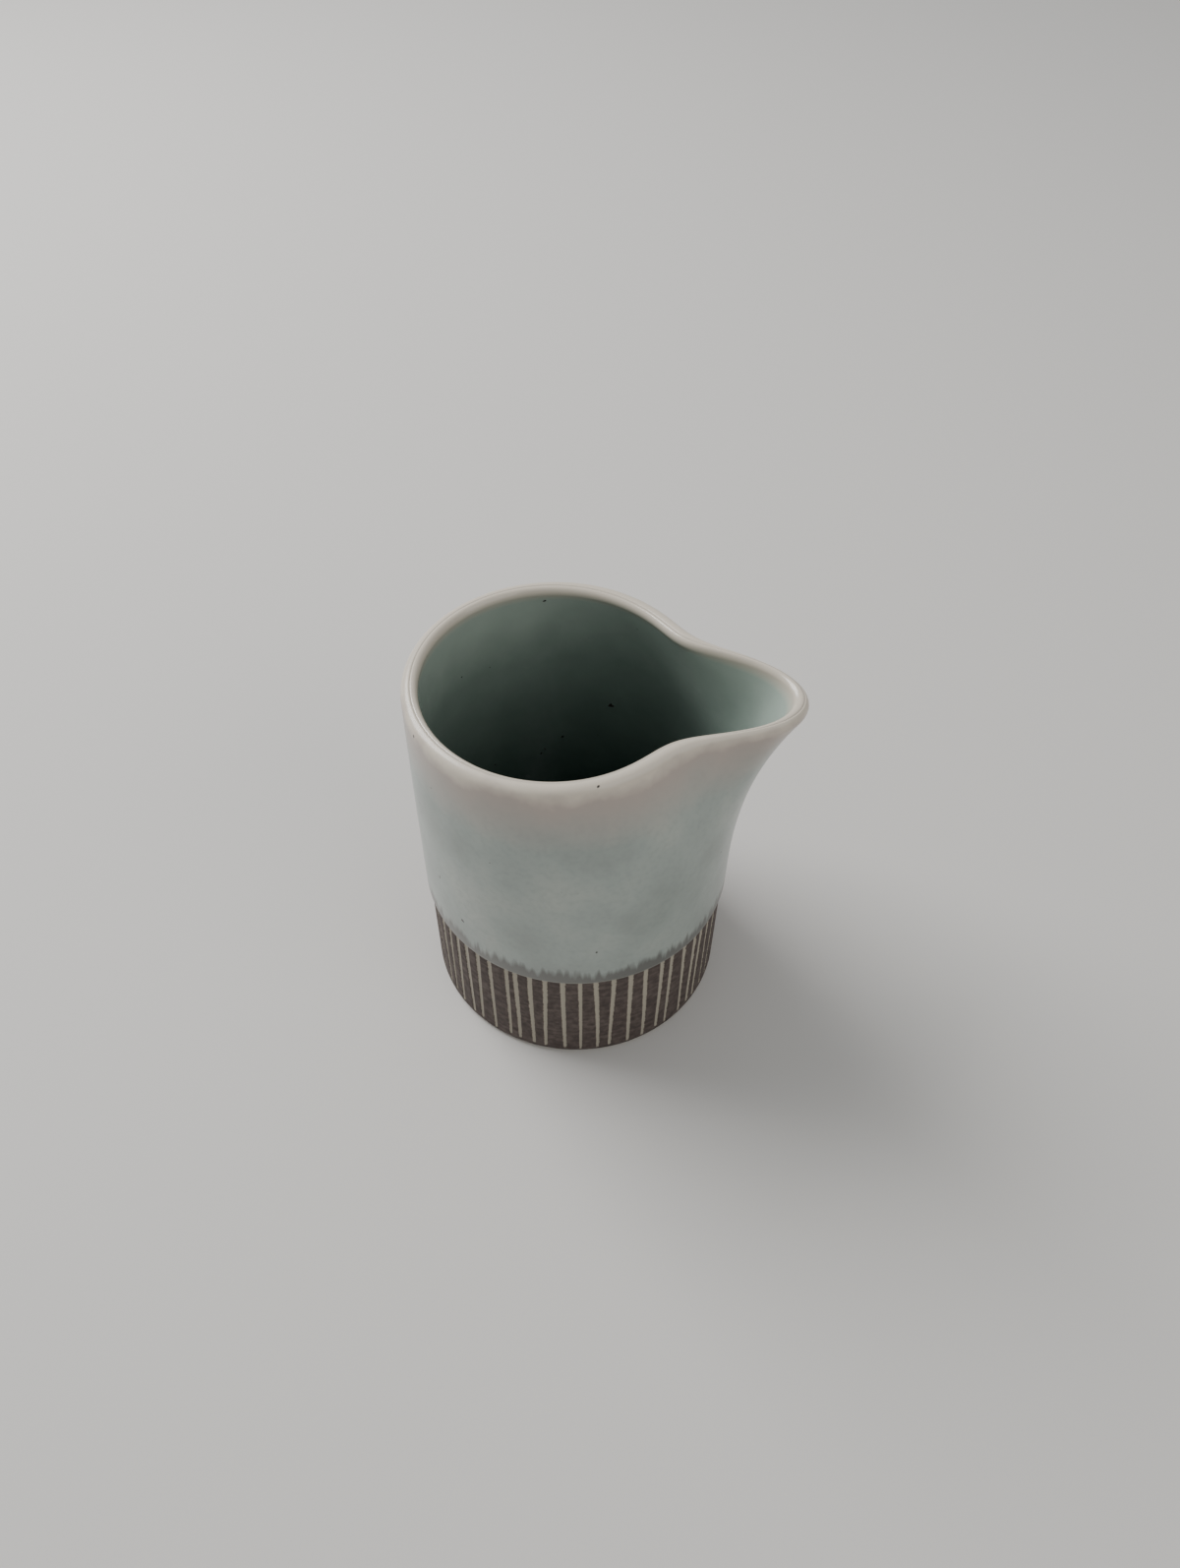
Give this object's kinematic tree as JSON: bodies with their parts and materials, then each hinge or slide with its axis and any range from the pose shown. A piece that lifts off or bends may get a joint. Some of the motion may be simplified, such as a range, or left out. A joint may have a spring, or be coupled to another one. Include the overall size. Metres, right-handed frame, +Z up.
{
  "type": "creamer",
  "caption": "Small cylindrical stoneware creamer with a pulled teardrop spout, glazed inside and out above an unglazed scratched slip band and a turned foot ring.",
  "frame": {"origin": "on the standing plane, under the middle of the whole outline with its spout", "axes": "+Z up, +X towards the spout"},
  "size_m": [0.0756, 0.0654, 0.083],
  "materials": {
    "bare_clay": "matte",
    "dark_slip": "matte",
    "celadon_glaze": "satin",
    "inner_glaze": "gloss"
  },
  "bodies": {
    "root": {"clay_body": "bare_clay", "slip_band": "dark_slip", "outer_glaze": "celadon_glaze", "inner_glaze": "inner_glaze"}
  },
  "joints": []
}
